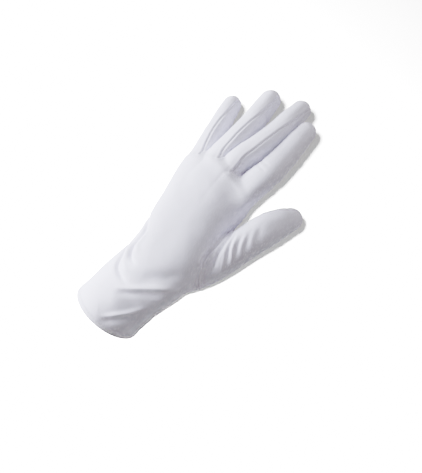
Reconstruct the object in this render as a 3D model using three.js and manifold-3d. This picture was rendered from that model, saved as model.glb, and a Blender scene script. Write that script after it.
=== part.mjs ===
// Cotton dress glove for a left hand, held up in the form it takes when worn.
// Millimetres. Origin at the centre of the cuff opening, +Z from the cuff to
// the fingers, back of the hand toward -Y, thumb toward +X.
import * as THREE from 'three';
import { mergeVertices } from 'three/addons/utils/BufferGeometryUtils.js';
import Module from 'manifold-3d';

// ---- driving dimensions, mm -------------------------------------------
const WALL = 1.2;          // cloth thickness
const GAP = 0.3;           // clear gap between two sewn pieces
const CUFF_LIFT = 1.05;    // how far round the thumb side the side seam sits at the cuff, part of the half depth
const PALM_LIFT = 0.55;    // the same at the palm
const FINGER_POWER = 2.35; // 2 is round, more is boxier
const BODY_SEG = 34;       // facets round the hand
const FINE_FROM = 13;      // height where the close rings of the folds start
const FINE_TO = 80;        // height where they end
const FINE_STEP = 4.6;     // between close rings
const WIDE_STEP = 9.5;     // between the other rings
const TUBE_SEG = 12;       // facets round a finger
const TUBE_ROWS = 8;      // facets along a finger
const CAP_ROWS = 3;        // facets over a fingertip

// ---- the hand of the glove: one row per cross-section ------------------
// z height, x and y of the centre, half = half width, deep = half depth,
// roll = turn of the width about Z (degrees), power = roundness,
// bow = how far the two sides are bent toward the palm
const HAND = [
  { z: 0, x: 0, y: 0, half: 29, deep: 28.5, roll: 0, power: 2, bow: 0 },
  { z: 12, x: 1, y: 0, half: 28.8, deep: 27.5, roll: 0, power: 2, bow: 0 },
  { z: 28, x: 3, y: 0, half: 29, deep: 26, roll: 2, power: 2, bow: 0 },
  { z: 44, x: 6, y: 0.5, half: 29.4, deep: 24, roll: 4, power: 2.1, bow: 0 },
  { z: 58, x: 8.2, y: 2, half: 29.8, deep: 22, roll: 6, power: 2.2, bow: 0 },
  { z: 72, x: 7.6, y: 5, half: 30.9, deep: 20.5, roll: 7, power: 2.2, bow: 1 },
  { z: 88, x: 3.6, y: 9.3, half: 32.2, deep: 19.5, roll: 8, power: 2.3, bow: 2 },
  { z: 104, x: -2.2, y: 13.6, half: 32.2, deep: 18, roll: 8, power: 2.3, bow: 3 },
  { z: 118, x: -6.2, y: 17.6, half: 33, deep: 16.5, roll: 7, power: 2.5, bow: 4 },
  { z: 130, x: -8.5, y: 21.4, half: 33, deep: 14.8, roll: 6, power: 2.6, bow: 4 },
  { z: 139, x: -10.8, y: 24.2, half: 29.5, deep: 13, roll: 6, power: 2.6, bow: 3.5 },
  { z: 145, x: -11, y: 26, half: 23.5, deep: 10.8, roll: 6, power: 2.5, bow: 2.5 },
  { z: 150, x: -9.5, y: 27.4, half: 15.5, deep: 7.5, roll: 6, power: 2.4, bow: 1.5 },
];

// ---- folds of the wrist and cuff: one row per leg of a fold -------------
// round0/round1 = degrees round the section (0 thumb side, -90 back of hand,
// 180 little-finger side, 90 palm), z0/z1 = heights, wide = half width of
// the fold, rise = height of the ridge (negative: depth of the groove)
const FOLDS = [
  { round0: -150, z0: 76, round1: -141, z1: 66, wide: 3.4, rise: -1.6 },
  { round0: -141, z0: 66, round1: -128, z1: 60.5, wide: 3.4, rise: -1.8 },
  { round0: -128, z0: 60.5, round1: -105, z1: 58.5, wide: 3.4, rise: -0.9 },
  { round0: -150, z0: 62, round1: -136, z1: 48, wide: 3.2, rise: -1.2 },
  { round0: -136, z0: 48, round1: -108, z1: 43.8, wide: 3.2, rise: -1.5 },
  { round0: -108, z0: 43.8, round1: -84, z1: 45.5, wide: 3.2, rise: -1.2 },
  { round0: -160, z0: 56, round1: -120, z1: 52.5, wide: 4.2, rise: 1.4 },
  { round0: -120, z0: 52.5, round1: -96, z1: 51, wide: 4.2, rise: 1 },
  { round0: -78, z0: 43, round1: -51, z1: 56, wide: 3.4, rise: 1.9 },
  { round0: -51, z0: 56, round1: -4, z1: 68, wide: 3.4, rise: 1.7 },
  { round0: -72, z0: 56, round1: -49, z1: 67, wide: 5.2, rise: -1.8 },
  { round0: -49, z0: 67, round1: -24, z1: 76, wide: 5.2, rise: -1.4 },
  { round0: -78, z0: 36, round1: -52, z1: 46.5, wide: 3.6, rise: -1.4 },
  { round0: -52, z0: 46.5, round1: -25, z1: 54, wide: 3.6, rise: -1.1 },
  { round0: -62, z0: 16, round1: -44, z1: 22, wide: 3.6, rise: 1.3 },
  { round0: -44, z0: 22, round1: -20, z1: 42, wide: 3.6, rise: 1.4 },
  { round0: -66, z0: 25, round1: -52, z1: 34, wide: 4.2, rise: -1.2 },
  { round0: 40, z0: 52, round1: 95, z1: 60, wide: 4, rise: -1.6 },
  { round0: 95, z0: 60, round1: 150, z1: 55, wide: 4, rise: -1.4 },
  { round0: 60, z0: 43, round1: 130, z1: 47, wide: 4, rise: 1.3 },
  { round0: 20, z0: 30, round1: 80, z1: 36, wide: 4.4, rise: -1.3 },
  { round0: 140, z0: 38, round1: 185, z1: 44, wide: 4, rise: -1.3 },
];

// ---- fingers: one row per control point from root to tip ----------------
// x y z of the centre line, wide = half width, tall = half height; back =
// direction the back of that finger faces
const FINGERS = {
  index: {
    back: [0.029, -0.846, 0.532], rows: [
      { x: 17, y: 21.5, z: 121, wide: 8.5, tall: 6.5 },
      { x: 15, y: 23.2, z: 137.6, wide: 10.8, tall: 9 },
      { x: 14.4, y: 26.7, z: 153.6, wide: 10.8, tall: 9.8 },
      { x: 12.1, y: 33.9, z: 170.7, wide: 10.1, tall: 9.4 },
      { x: 7.3, y: 45.5, z: 185.4, wide: 9.1, tall: 8.8 },
      { x: 2.2, y: 54.5, z: 196, wide: 8.1, tall: 8 },
      { x: -2.3, y: 62.6, z: 203.8, wide: 7.3, tall: 6.9 },
    ],
  },
  middle: {
    back: [-0.32, -0.776, 0.544], rows: [
      { x: -5.5, y: 17, z: 117, wide: 8, tall: 7 },
      { x: -6.5, y: 18.2, z: 134, wide: 10.3, tall: 8.8 },
      { x: -9.6, y: 26.1, z: 159.2, wide: 10.2, tall: 9.8 },
      { x: -10.6, y: 36.4, z: 174.8, wide: 9.6, tall: 9.4 },
      { x: -14.8, y: 52, z: 191.6, wide: 8.9, tall: 8.8 },
      { x: -20.3, y: 63.9, z: 201.9, wide: 8.1, tall: 8.2 },
      { x: -24.1, y: 71.9, z: 208, wide: 7.3, tall: 7.2 },
    ],
  },
  ring: {
    back: [-0.439, -0.81, 0.389], rows: [
      { x: -21.5, y: 17.5, z: 112, wide: 8, tall: 7 },
      { x: -23.1, y: 19, z: 128.4, wide: 9.8, tall: 8.6 },
      { x: -25, y: 24.4, z: 150.1, wide: 9.7, tall: 9.4 },
      { x: -27.8, y: 32.3, z: 165.5, wide: 9.3, tall: 9 },
      { x: -33.2, y: 43.1, z: 178.3, wide: 8.9, tall: 8.6 },
      { x: -40, y: 53.8, z: 188.9, wide: 8.5, tall: 8.2 },
      { x: -45.7, y: 61.9, z: 197.1, wide: 8, tall: 7.4 },
    ],
  },
  little: {
    back: [-0.351, -0.872, 0.341], rows: [
      { x: -28.5, y: 18.5, z: 108, wide: 6.5, tall: 6 },
      { x: -35, y: 22, z: 124.4, wide: 8, tall: 7.8 },
      { x: -40.2, y: 25.1, z: 141.8, wide: 8.4, tall: 8.2 },
      { x: -45.3, y: 29.9, z: 152.7, wide: 8.2, tall: 8 },
      { x: -51.9, y: 37.1, z: 162.5, wide: 7.9, tall: 7.6 },
      { x: -59.2, y: 45, z: 170.7, wide: 7.5, tall: 7.2 },
      { x: -63.1, y: 49.7, z: 174.2, wide: 7.1, tall: 6.6 },
    ],
  },
};
const THUMB = {
  back: [0.424, -0.858, 0.289], rows: [
    { x: 16, y: 9, z: 48, wide: 10, tall: 9 },
    { x: 20.4, y: 17.6, z: 62.9, wide: 13.6, tall: 12 },
    { x: 26.7, y: 23.5, z: 78.9, wide: 14.5, tall: 13.5 },
    { x: 32, y: 27.7, z: 97.6, wide: 14.2, tall: 13 },
    { x: 35.5, y: 32.9, z: 117.7, wide: 13.4, tall: 12.4 },
    { x: 38.6, y: 40.5, z: 135.7, wide: 12.8, tall: 11.5 },
    { x: 40.5, y: 47.4, z: 146.3, wide: 11.2, tall: 10.2 },
    { x: 42.2, y: 52.6, z: 151.9, wide: 9.2, tall: 8.8 },
  ],
};

// ---- side strips between two fingers -------------------------------------
// far = finger on the thumb side, near = finger on the little-finger side,
// root = point where the strip starts on the back
const STRIPS = [
  { name: 'fourchette_index_middle', far: 'index', near: 'middle', root: [0.4, 15, 155.1] },
  { name: 'fourchette_middle_ring', far: 'middle', near: 'ring', root: [-18.6, 15, 154.2] },
  { name: 'fourchette_ring_little', far: 'ring', near: 'little', root: [-34.3, 16, 142.2] },
];
// where the strip's seams run: along = part of the finger's length, near and
// far = how far off the middle of that finger, as a part of its half width
const STRIP_SEAM = [
  { along: 0.37, near: 0.64, far: 0.74 },
  { along: 0.46, near: 0.54, far: 0.68 },
  { along: 0.56, near: 0.5, far: 0.65 },
  { along: 0.65, near: 0.57, far: 0.68 },
  { along: 0.72, near: 0.72, far: 0.77 },
  { along: 0.8, near: 0.84, far: 0.86 },
  { along: 0.9, near: 0.92, far: 0.93 },
  { along: 1, near: 0.97, far: 0.97 },
];

// ---- where the panels of a finger meet those of the hand: along = part of
// the finger's length, from and to = across it in half widths, + on the thumb side
const FINGER_JOIN = {
  index: { along: 0.42, from: -1, to: 1.4 },
  middle: { along: 0.42, from: -1, to: 1 },
  ring: { along: 0.43, from: -1, to: 1 },
  little: { along: 0.43, from: -1.4, to: 1 },
};

// ---- seam of the thumb: points along it, from the crook of the thumb down
// the back to the wrist, then out past the thumb; axis = line it is cut along
const THUMB_AXIS = [0.453, -0.785, 0.423];
const THUMB_LINE = [
  [20, 33, 122.7], [21.2, 29.4, 114.8], [24.2, 23.7, 100.9], [25.9, 20.2, 92.5],
  [30.1, 17.7, 83.4], [33.5, 16.7, 77.9], [42, 16.8, 69], [65.6, 21.1, 51.6],
  [122.5, 87.8, 114.4], [45.1, 83.3, 189.3], [23.5, 61.7, 172.3], [20.2, 44.3, 143.5], [20.1, 37.1, 130.2],
];

const CLOTH = { color: 0xe6e5ef, roughness: 0.88, metalness: 0 };

// ---- helpers ---------------------------------------------------------------
const V = (a) => new THREE.Vector3(a[0], a[1], a[2]);
const rad = THREE.MathUtils.degToRad;
const step = (a, b, x) => THREE.MathUtils.smoothstep(x, a, b);

// smooth value of every column of the hand table at height z
const COLS = ['x', 'y', 'half', 'deep', 'roll', 'power', 'bow'];
function handAt(z) {
  const n = HAND.length;
  let i = 0;
  while (i < n - 2 && z > HAND[i + 1].z) i++;
  const a = HAND[i], b = HAND[i + 1], h = b.z - a.z, t = (z - a.z) / h;
  const out = {};
  for (const c of COLS) {
    const slope = (k) => {
      const p = HAND[Math.max(k - 1, 0)], q = HAND[Math.min(k + 1, n - 1)];
      return (q[c] - p[c]) / (q.z - p.z);
    };
    const m0 = slope(i) * h, m1 = slope(i + 1) * h, t2 = t * t, t3 = t2 * t;
    out[c] = (2 * t3 - 3 * t2 + 1) * a[c] + (t3 - 2 * t2 + t) * m0 + (-2 * t3 + 3 * t2) * b[c] + (t3 - t2) * m1;
  }
  return out;
}

// height of the folds at an angle round the hand and a height
function foldAt(ang, z, girth) {
  let sum = 0;
  for (const f of FOLDS) {
    let a = ang;
    const mid = (f.round0 + f.round1) / 2;
    while (a - mid > 180) a -= 360;
    while (a - mid < -180) a += 360;
    const k = girth * Math.PI / 180;
    const dx = (f.round1 - f.round0) * k, dz = f.z1 - f.z0;
    const px = (a - f.round0) * k, pz = z - f.z0;
    const len2 = dx * dx + dz * dz;
    const s = THREE.MathUtils.clamp((px * dx + pz * dz) / len2, 0, 1);
    const d = Math.hypot(px - s * dx, pz - s * dz);
    sum += f.rise * Math.exp(-((d / f.wide) ** 2));
  }
  return THREE.MathUtils.clamp(sum, -2.6, 2.4);
}

// point of the hand at height z, angle, part of the radius, inset by the wall
function handPoint(z, ang, part, inset) {
  const s = handAt(THREE.MathUtils.clamp(z, HAND[0].z, HAND[HAND.length - 1].z));
  const c = Math.cos(ang), n = Math.sin(ang);
  const half = s.half - inset, deep = s.deep - inset;
  const k = Math.pow(Math.abs(c) ** s.power + Math.abs(n) ** s.power, -1 / s.power);
  let u = half * k * c, v = deep * k * n;
  const f = foldAt(THREE.MathUtils.radToDeg(ang), z, (s.half + s.deep) / 2);
  const r = Math.hypot(u, v), g = (r + f) / r;
  u *= g * part; v = v * g * part + s.bow * (u / half) ** 2;
  const w = rad(s.roll);
  return new THREE.Vector3(s.x + u * Math.cos(w) - v * Math.sin(w), s.y + u * Math.sin(w) + v * Math.cos(w), z);
}

// merged, indexed, outward-facing solid for the boolean steps
function solid(wasm, geometry) {
  const g = geometry.clone();
  g.deleteAttribute('normal'); g.deleteAttribute('uv');
  const m = mergeVertices(g, 1e-4);
  const p = m.attributes.position, idx = Array.from(m.index.array);
  const a = new THREE.Vector3(), b = new THREE.Vector3(), c = new THREE.Vector3();
  let vol = 0;
  const tris = [];
  for (let i = 0; i < idx.length; i += 3) {
    if (idx[i] === idx[i + 1] || idx[i + 1] === idx[i + 2] || idx[i] === idx[i + 2]) continue;
    tris.push(idx[i], idx[i + 1], idx[i + 2]);
    a.fromBufferAttribute(p, idx[i]); b.fromBufferAttribute(p, idx[i + 1]); c.fromBufferAttribute(p, idx[i + 2]);
    vol += a.dot(b.cross(c));
  }
  if (vol < 0) for (let i = 0; i < tris.length; i += 3) { const t = tris[i]; tris[i] = tris[i + 1]; tris[i + 1] = t; }
  return new wasm.Manifold(new wasm.Mesh({
    numProp: 3, vertProperties: new Float32Array(p.array), triVerts: new Uint32Array(tris),
  }));
}

// heights of the rings of the hand, close together where the folds are
function ringHeights() {
  const top = HAND[HAND.length - 1].z, list = [0];
  for (let z = FINE_FROM; z < FINE_TO; z += FINE_STEP) list.push(z);
  const n = Math.round((top - FINE_TO) / WIDE_STEP);
  for (let i = 0; i <= n; i++) list.push(FINE_TO + (top - FINE_TO) * i / n);
  return list;
}

// the body of the hand: a cylinder whose rings follow the hand table
function handTube(wasm, inset, seg, heights) {
  const rows = heights.length - 1;
  const g = new THREE.CylinderGeometry(1, 1, 1, seg, rows, false);
  const p = g.attributes.position;
  for (let i = 0; i < p.count; i++) {
    const x = p.getX(i), z = p.getZ(i), h = heights[Math.round((p.getY(i) + 0.5) * rows)];
    const q = handPoint(h, Math.atan2(z, x), Math.min(1, Math.hypot(x, z)), inset);
    p.setXYZ(i, q.x, q.y, h);
  }
  return solid(wasm, g);
}

// centre line, frame and half sizes along a finger
function fingerRail(f) {
  const path = new THREE.CatmullRomCurve3(f.rows.map((r) => new THREE.Vector3(r.x, r.y, r.z)), false, 'catmullrom', 0.5);
  const size = new THREE.CatmullRomCurve3(f.rows.map((r) => new THREE.Vector3(r.wide, r.tall, 0)), false, 'catmullrom', 0.5);
  const back = V(f.back).normalize();
  return (t) => {
    const e = 1e-3, at = path.getPoint(t);
    const ax = path.getPoint(Math.min(1, t + e)).sub(path.getPoint(Math.max(0, t - e))).normalize();
    const up = back.clone().addScaledVector(ax, -back.dot(ax)).normalize();
    const side = ax.clone().cross(up); // toward the thumb side
    const w = size.getPoint(t);
    return { at, ax, up, side, wide: w.x, tall: w.y };
  };
}

// a finger: a capsule bent along its centre line
function fingerTube(wasm, f, inset, seg, rows, cap, roundStart) {
  const rail = fingerRail(f);
  const g = new THREE.CapsuleGeometry(1, 2, cap, seg, rows);
  const p = g.attributes.position;
  for (let i = 0; i < p.count; i++) {
    const x = p.getX(i), z = p.getZ(i), y = p.getY(i);
    const t = THREE.MathUtils.clamp((y + 1) / 2, 0, 1), over = y > 1 ? y - 1 : y < -1 ? y + 1 : 0;
    const r = rail(t), ang = Math.atan2(z, x), part = Math.min(1, Math.hypot(x, z));
    const c = Math.cos(ang), s = Math.sin(ang);
    const k = part * Math.pow(Math.abs(c) ** FINGER_POWER + Math.abs(s) ** FINGER_POWER, -1 / FINGER_POWER);
    const wide = r.wide - inset, tall = r.tall - inset;
    const len = over > 0 ? wide : roundStart;
    const q = r.at.clone().addScaledVector(r.side, wide * k * c).addScaledVector(r.up, tall * k * s).addScaledVector(r.ax, over * len);
    p.setXYZ(i, q.x, q.y, q.z);
  }
  return solid(wasm, g);
}

// middle surface between back and palm, y at (x, z)
const RAILS = Object.fromEntries(Object.entries(FINGERS).map(([k, f]) => [k, fingerRail(f)]));
const SAMPLES = Object.entries(RAILS).map(([name, rail]) => {
  const list = [];
  for (let i = 0; i <= 24; i++) list.push(rail(i / 24));
  return { name, list };
});
function handMid(x, z) {
  const h = THREE.MathUtils.clamp(z, 0, 140), s = handAt(h);
  const u = THREE.MathUtils.clamp((x - s.x) / (Math.cos(rad(s.roll)) * s.half), -1.25, 1.25);
  const lift = THREE.MathUtils.lerp(CUFF_LIFT, PALM_LIFT, step(50, 90, z)) * s.deep;
  return s.y + u * s.half * Math.sin(rad(s.roll)) + s.bow * u * u + (u > 0 ? lift * u * u : 0);
}
function fingerMid(x, z) {
  let sum = 0, tot = 0;
  for (const { name, list } of SAMPLES) {
    let best = null, far = 1e9;
    for (const r of list) {
      const d = (x - r.at.x) ** 2 + (z - r.at.z) ** 2;
      if (d < far) { far = d; best = r; }
    }
    const dx = x - best.at.x, dz = z - best.at.z;
    const det = best.ax.x * best.side.z - best.ax.z * best.side.x;
    const a = (dx * best.side.z - dz * best.side.x) / det;
    const b = (best.ax.x * dz - best.ax.z * dx) / det;
    const lim = THREE.MathUtils.clamp(b, -16, 16);
    let y = best.at.y + THREE.MathUtils.clamp(a, -14, 14) * best.ax.y + lim * best.side.y;
    if (name === 'index' && lim > 0) y += 0.5 * lim;
    const w = 1 / (far + 4) ** 3;
    sum += w * y; tot += w;
  }
  return sum / tot;
}
function midY(x, z) {
  const k = step(132, 152, z);
  if (k <= 0) return handMid(x, z);
  if (k >= 1) return fingerMid(x, z);
  return THREE.MathUtils.lerp(handMid(x, z), fingerMid(x, z), k);
}

// block on the back side of the middle surface, its face moved by d
function backBlock(wasm, d) {
  const x0 = -86, x1 = 66, z0 = -6, z1 = 232, e = 0.5;
  const g = new THREE.BoxGeometry(1, 1, 1, 18, 1, 24);
  const p = g.attributes.position;
  for (let i = 0; i < p.count; i++) {
    const x = x0 + (p.getX(i) + 0.5) * (x1 - x0), z = z0 + (p.getZ(i) + 0.5) * (z1 - z0);
    let y = -160;
    if (p.getY(i) > 0) {
      const sx = (midY(x + e, z) - midY(x - e, z)) / (2 * e), sz = (midY(x, z + e) - midY(x, z - e)) / (2 * e);
      y = midY(x, z) + d * Math.min(2.2, Math.hypot(1, sx, sz));
    }
    p.setXYZ(i, x, y, z);
  }
  return solid(wasm, g);
}

// outline moved outward by d (corner by corner)
function grow(points, d) {
  const area = THREE.ShapeUtils.area(points), s = area > 0 ? 1 : -1, n = points.length;
  return points.map((p, i) => {
    const a = points[(i + n - 1) % n], b = points[(i + 1) % n];
    const n0 = new THREE.Vector2(p.y - a.y, a.x - p.x).normalize();
    const n1 = new THREE.Vector2(b.y - p.y, p.x - b.x).normalize();
    const m = n0.clone().add(n1).normalize();
    return p.clone().addScaledVector(m, s * d / Math.max(0.4, m.dot(n0)));
  });
}

// prism of an outline in the plane (u, v), pushed both ways along w
function prism(wasm, outline, u, v, w, origin, from, to) {
  const g = new THREE.ExtrudeGeometry(new THREE.Shape(outline), { depth: to - from, bevelEnabled: false, steps: 1 });
  g.translate(0, 0, from);
  g.applyMatrix4(new THREE.Matrix4().makeBasis(u, v, w).setPosition(origin));
  return solid(wasm, g);
}

// outline of a strip between two fingers, seen from the back of them
function stripPrism(wasm, s, d) {
  const A = RAILS[s.near], B = RAILS[s.far];
  const w = A(0.54).up.clone().add(B(0.54).up).normalize();
  const ax = A(0.54).ax.clone().add(B(0.54).ax);
  const v = ax.addScaledVector(w, -ax.dot(w)).normalize();
  const u = v.clone().cross(w); // toward the thumb side
  const o = V(s.root);
  const flat = (q) => { const r = q.clone().sub(o); return new THREE.Vector2(r.dot(u), r.dot(v)); };
  const along = (R, sign, col) => STRIP_SEAM.map((row) => {
    const r = R(row.along);
    return flat(r.at.clone().addScaledVector(r.side, sign * row[col] * r.wide));
  });
  const tip = (R, sign) => {
    const r = R(1);
    return [
      flat(r.at.clone().addScaledVector(r.ax, 0.42 * r.wide).addScaledVector(r.side, sign * 1.02 * r.wide)),
      flat(r.at.clone().addScaledVector(r.ax, 0.7 * r.wide).addScaledVector(r.side, sign * 1.3 * r.wide)),
    ];
  };
  const near = along(A, 1, 'near'), far = along(B, -1, 'far');
  const lead = (p) => new THREE.Vector2(p.x * 0.62, p.y * 0.3);
  let outline = [
    new THREE.Vector2(0, -2.5), lead(far[0]), ...far, ...tip(B, -1),
    ...tip(A, 1).reverse(), ...near.slice().reverse(), lead(near[0]),
  ];
  if (THREE.ShapeUtils.area(outline) < 0) outline = outline.reverse();
  return prism(wasm, grow(outline, d), u, v, w, o, -34, 30);
}

function thumbPrism(wasm, d) {
  const w = V(THUMB_AXIS).normalize();
  const u = new THREE.Vector3(0, 0, 1).cross(w).normalize(), v = w.clone().cross(u);
  const o = V(THUMB_LINE[0]);
  let outline = THUMB_LINE.map((q) => { const r = V(q).sub(o); return new THREE.Vector2(r.dot(u), r.dot(v)); });
  if (THREE.ShapeUtils.area(outline) < 0) outline = outline.reverse();
  return prism(wasm, grow(outline, d), u, v, w, o, -70, 70);
}

function toMesh(name, body) {
  const m = body.getMesh();
  const g = new THREE.BufferGeometry();
  const n = m.numProp, count = m.vertProperties.length / n, pos = new Float32Array(count * 3);
  for (let i = 0; i < count; i++) for (let k = 0; k < 3; k++) pos[3 * i + k] = m.vertProperties[n * i + k];
  g.setAttribute('position', new THREE.BufferAttribute(pos, 3));
  g.setIndex(new THREE.BufferAttribute(new Uint32Array(m.triVerts), 1));
  g.computeVertexNormals();
  const mesh = new THREE.Mesh(g, new THREE.MeshStandardMaterial({ name: 'white_cotton', ...CLOTH }));
  mesh.name = name;
  return mesh;
}

// thin block square to a finger, where its panels meet those of the hand
function joinBlock(wasm, name) {
  const j = FINGER_JOIN[name], r = RAILS[name](j.along);
  const g = new THREE.BoxGeometry((j.to - j.from) * r.wide, 2 * r.tall + 8, GAP);
  g.translate((j.to + j.from) / 2 * r.wide, 0, 0);
  g.applyMatrix4(new THREE.Matrix4().makeBasis(r.side, r.up, r.ax).setPosition(r.at));
  return solid(wasm, g);
}

// a panel as its hand part and its four finger parts
function panelParts(panel, name) {
  const out = {};
  for (const part of panel.decompose()) {
    const b = part.boundingBox(), c = new THREE.Vector3(...b.min).add(new THREE.Vector3(...b.max)).multiplyScalar(0.5);
    let key = name;
    if (b.min[2] > 110) {
      let far = 1e9;
      for (const f of Object.keys(FINGERS)) {
        const d = RAILS[f](0.72).at.distanceTo(c);
        if (d < far) { far = d; key = `${name}_${f}`; }
      }
    }
    if (!out[key] || part.volume() > out[key].volume()) {
      if (out[key]) console.error('left out', key, out[key].volume().toFixed(1));
      out[key] = part;
    } else console.error('left out', key, part.volume().toFixed(1));
  }
  return out;
}

// keeps the largest connected body of a cut
function largest(body) {
  const parts = body.decompose();
  if (parts.length > 1) console.error('cut into', parts.map((q) => q.volume().toFixed(1)).join(' '));
  parts.sort((a, b) => b.volume() - a.volume());
  return parts[0];
}

async function build() {
  const wasm = await Module();
  wasm.setup();

  const rings = ringHeights(), top = rings[rings.length - 1];
  let outer = handTube(wasm, 0, BODY_SEG, rings);
  let inner = handTube(wasm, WALL, BODY_SEG, [-6, ...rings.slice(0, -1), top - 1.6]);
  for (const f of Object.values(FINGERS)) {
    outer = outer.add(fingerTube(wasm, f, 0, TUBE_SEG, TUBE_ROWS, CAP_ROWS, 3));
    inner = inner.add(fingerTube(wasm, f, WALL, 10, 5, 2, 2));
  }
  outer = outer.add(fingerTube(wasm, THUMB, 0, TUBE_SEG + 4, TUBE_ROWS, CAP_ROWS, 4));
  inner = inner.add(fingerTube(wasm, THUMB, WALL, 12, 5, 2, 3));
  const shell = outer.subtract(inner);

  const group = new THREE.Group();
  group.name = 'cloth_glove';
  let rest = shell.subtract(thumbPrism(wasm, GAP / 2));
  const small = [];
  small.push(['thumb', largest(shell.intersect(thumbPrism(wasm, -GAP / 2)))]);
  for (const s of STRIPS) {
    rest = rest.subtract(stripPrism(wasm, s, GAP / 2));
    small.push([s.name, largest(shell.intersect(stripPrism(wasm, s, -GAP / 2)))]);
  }
  for (const name of Object.keys(FINGERS)) rest = rest.subtract(joinBlock(wasm, name));
  const panels = {
    ...panelParts(rest.intersect(backBlock(wasm, -GAP / 2)), 'back'),
    ...panelParts(rest.subtract(backBlock(wasm, GAP / 2)), 'palm'),
  };
  for (const [name, body] of Object.entries(panels)) group.add(toMesh(name, body));
  for (const [name, body] of small) group.add(toMesh(name, body));
  return group;
}

export default await build();
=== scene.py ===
"""Looks of the cloth glove: six sewn pieces of fine knitted cotton, a stitched hem, floor, lights and camera.

Lengths are in millimetres until a mesh is handed to Blender, which gets metres.
"""
import math

import bpy
import numpy as np
from mathutils import Matrix, Vector, kdtree, noise


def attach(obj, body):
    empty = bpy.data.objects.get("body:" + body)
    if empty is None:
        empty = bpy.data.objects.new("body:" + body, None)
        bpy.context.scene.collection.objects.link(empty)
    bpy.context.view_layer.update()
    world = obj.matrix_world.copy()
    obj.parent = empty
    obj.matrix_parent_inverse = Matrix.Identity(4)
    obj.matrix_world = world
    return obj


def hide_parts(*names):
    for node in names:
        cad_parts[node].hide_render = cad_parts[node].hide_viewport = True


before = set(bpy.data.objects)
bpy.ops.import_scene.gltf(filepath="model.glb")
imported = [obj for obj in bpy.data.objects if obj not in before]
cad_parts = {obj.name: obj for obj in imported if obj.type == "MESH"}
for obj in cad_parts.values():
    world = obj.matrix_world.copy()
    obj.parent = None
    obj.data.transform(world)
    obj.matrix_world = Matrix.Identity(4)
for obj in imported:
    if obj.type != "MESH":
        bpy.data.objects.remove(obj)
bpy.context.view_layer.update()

GRID = 0.9            # spacing of the cloth mesh
WALL = 1.2            # cloth
HEM_TOP = 4.6         # height of the turned hem
HEM_RISE = 0.35       # how far the double cloth stands proud
HEM_IN = 0.35         # and how far it stands inward
RIM = 0.9             # half thickness of the rounded rim
SEAM_OPEN = 0.015     # half gap between two sewn pieces
TOP = 149.5           # where the hand's tube closes under the fingers
WEB = 8.0             # roundness between hand and fingers
WEB_FILL = 20.0       # how full the cloth is between two fingers, below the web
CROTCH = 3.2          # roundness between hand and thumb
POWER = 2.35          # squareness of a finger's section

# the hand's tube: section at height z
HAND = np.array([
    # z, x, y, half, deep, roll, power, bow
    [0, 0, 0, 29, 28.5, 0, 2, 0],
    [12, 1, 0, 29, 26.8, 0, 2, 0],
    [28, 3, 0, 29.6, 24, 2, 2, 0],
    [44, 6, 0.5, 30, 22, 4, 2, 0],
    [58, 8.2, 2, 30.1, 22, 5, 2.1, 0],
    [72, 7.6, 5, 31, 21, 6, 2.2, 0],
    [88, 3.4, 9.3, 32.2, 19.6, 7, 2.4, 0.5],
    [104, -2.5, 13.6, 32, 18, 7, 2.5, 1.5],
    [118, -7.2, 17.2, 31.8, 16.8, 8, 2.5, 3],
    [130, -10, 20.6, 31.2, 15.4, 8, 2.5, 4.5],
    [139, -11.8, 23.2, 28.8, 13.6, 7, 2.4, 4],
    [145, -10.4, 25.8, 24.4, 11, 6, 2.4, 2.5],
    [150, -8.6, 27.4, 16.4, 7.6, 6, 2.3, 1.5],
])

# fingers: direction of the back, then rows of x, y, z, half width, half height
DIGITS = {
    "index": ((.029, -.846, .532), [
        (10.5, 27, 117, 8.5, 6.5), (10.4, 27.4, 133.6, 10.6, 9), (11.5, 28.2, 152.5, 11.2, 9.8), (12.1, 33.9, 170.7, 10.1, 9.4),
        (7.3, 45.5, 185.4, 9.1, 8.8), (2.2, 54.5, 196, 8.1, 8), (-2.3, 62.6, 203.8, 7.3, 6.9)]),
    "middle": ((-.32, -.776, .544), [
        (-5.5, 17, 117, 8, 7), (-7.2, 18.2, 134, 10, 8.8), (-10.5, 26.1, 159.2, 9.5, 9.8), (-10.6, 36.4, 174.8, 9.6, 9.4),
        (-14.8, 52, 191.6, 8.9, 8.8), (-20.3, 63.9, 201.9, 8.1, 8.2), (-24.1, 71.9, 208, 7.3, 7.2)]),
    "ring": ((-.439, -.81, .389), [
        (-21.5, 17.5, 112, 8, 7), (-23.1, 19, 128.4, 9.8, 8.6), (-25, 24.4, 150.1, 9.7, 9.4), (-27.8, 32.3, 165.5, 9.3, 9),
        (-33.2, 43.1, 178.3, 8.9, 8.6), (-40, 53.8, 188.9, 8.5, 8.2), (-45.7, 61.9, 197.1, 8, 7.4)]),
    "little": ((-.351, -.872, .341), [
        (-28.5, 18.5, 108, 6.5, 6), (-35, 22, 124.4, 8, 7.8), (-40.2, 25.1, 141.8, 8.4, 8.2), (-45.3, 29.9, 152.7, 8.2, 8),
        (-51.9, 37.1, 162.5, 7.9, 7.6), (-59.2, 45, 170.7, 7.5, 7.2), (-63.1, 49.7, 174.2, 7.1, 6.6)]),
    "thumb": ((.424, -.858, .289), [
        (16, 9, 48, 10, 9), (21.5, 15.6, 64, 13.6, 12), (28.1, 21.1, 80.2, 14.5, 13.5), (34.6, 24.7, 99.2, 13.5, 13),
        (38.6, 29.1, 119.5, 12.6, 12.2), (41, 36.4, 137.8, 12.8, 11.5), (42.9, 43.3, 148.4, 11.2, 10.2), (44.6, 48.5, 154, 9.2, 8.8)]),
}
FINGERS = ["index", "middle", "ring", "little"]

# side strips: the finger on the thumb side, the finger on the other side, the root of the seam
STRIPS = {
    "fourchette_index_middle": ("middle", "index", (-4, 15, 157.8)),
    "fourchette_middle_ring": ("ring", "middle", (-19.6, 15, 156.0)),
    "fourchette_ring_little": ("little", "ring", (-35.0, 16, 144.4)),
}
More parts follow.
